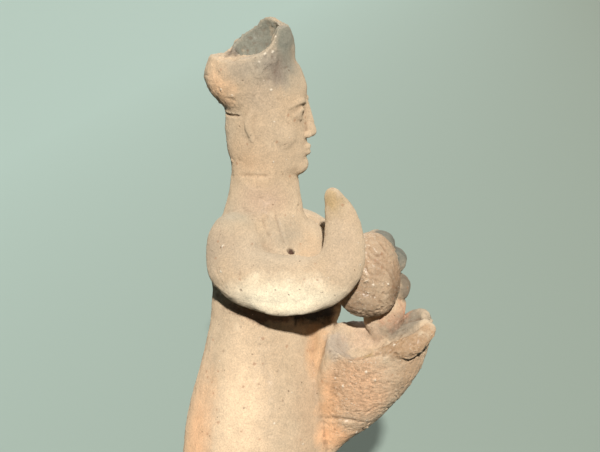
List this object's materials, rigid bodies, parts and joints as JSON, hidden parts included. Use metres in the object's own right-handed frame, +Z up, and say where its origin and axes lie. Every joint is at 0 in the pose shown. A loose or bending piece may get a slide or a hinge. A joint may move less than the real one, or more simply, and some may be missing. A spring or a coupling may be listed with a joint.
{
  "type": "terracotta female figure",
  "caption": "Standing handmade clay woman in a bell skirt and broken hollow cap, arms forward round a lump, with an open bowl at the waist.",
  "frame": {"origin": "centre of the flat round underside of the foot", "axes": "+Z up; the figure faces -Y, with its right arm on the -X side"},
  "size_m": [0.0534, 0.0767, 0.16],
  "materials": {
    "terracotta": "matt, gritty, hand-smoothed"
  },
  "bodies": {
    "root": {"female_figure": "terracotta"}
  },
  "joints": []
}
